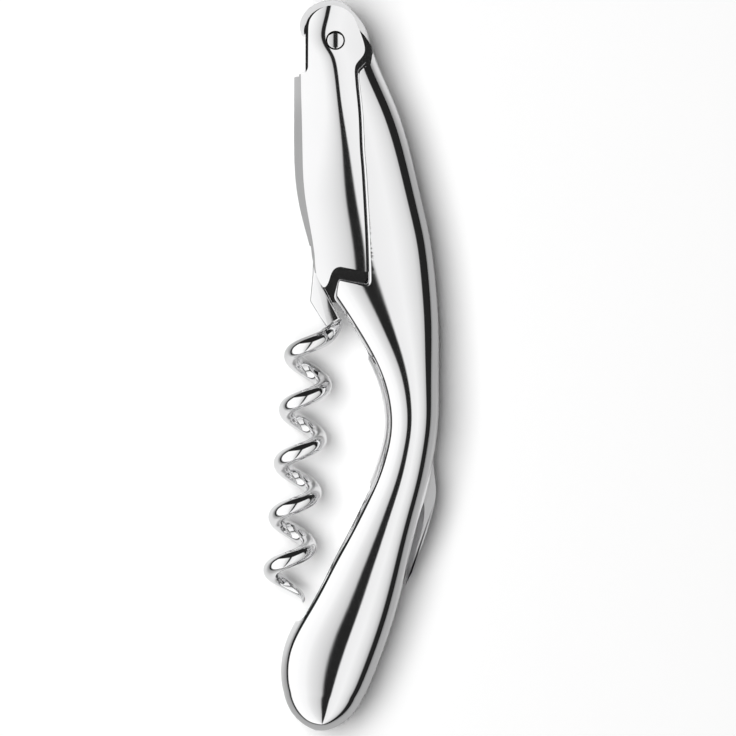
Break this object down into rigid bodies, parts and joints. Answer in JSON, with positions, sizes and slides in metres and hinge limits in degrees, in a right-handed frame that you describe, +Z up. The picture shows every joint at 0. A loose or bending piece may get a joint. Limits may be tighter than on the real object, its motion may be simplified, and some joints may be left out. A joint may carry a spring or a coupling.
{
  "type": "corkscrew",
  "caption": "Folding waiter's corkscrew in polished steel: curved handle, bottle lever with cap lifter, open-coil worm and a small foil knife.",
  "frame": {"origin": "middle of the underside of the folded corkscrew's box, as it lies on its side", "axes": "+Y along the handle towards the lever's head, +X towards the handle's back with the foil knife, +Z up, square to the flat side it lies on, along all the hinge pins"},
  "size_m": [0.0312, 0.1298, 0.014],
  "materials": {
    "polished_steel": "mirror polished cast stainless steel",
    "worm_steel": "bright drawn and polished wire",
    "blade_steel": "fine ground blade steel",
    "pin_steel": "turned and polished pin",
    "bronze": "thin rolled bronze"
  },
  "bodies": {
    "body": {"handle": "polished_steel", "lever_pin": "polished_steel", "lever_washer_front": "bronze", "lever_washer_back": "bronze", "worm_pin": "pin_steel", "knife_pin": "pin_steel"},
    "lever_arm": {"lever": "polished_steel"},
    "worm_arm": {"worm": "worm_steel"},
    "knife_arm": {"foil_knife": "blade_steel"}
  },
  "joints": [
    {"name": "lever_hinge", "type": "hinge", "parent": "body", "child": "lever_arm", "pos_m": [-0.00282, 0.05752, 0.007], "axis": [0, 0, -1], "range_deg": [0, 160]},
    {"name": "worm_hinge", "type": "hinge", "parent": "body", "child": "worm_arm", "pos_m": [-0.00256, 0.02014, 0.007], "axis": [0, 0, -1], "range_deg": [-10, 95]},
    {"name": "knife_hinge", "type": "hinge", "parent": "body", "child": "knife_arm", "pos_m": [0.0125, -0.0153, 0.007], "axis": [0, 0, 1], "range_deg": [0, 150]}
  ]
}
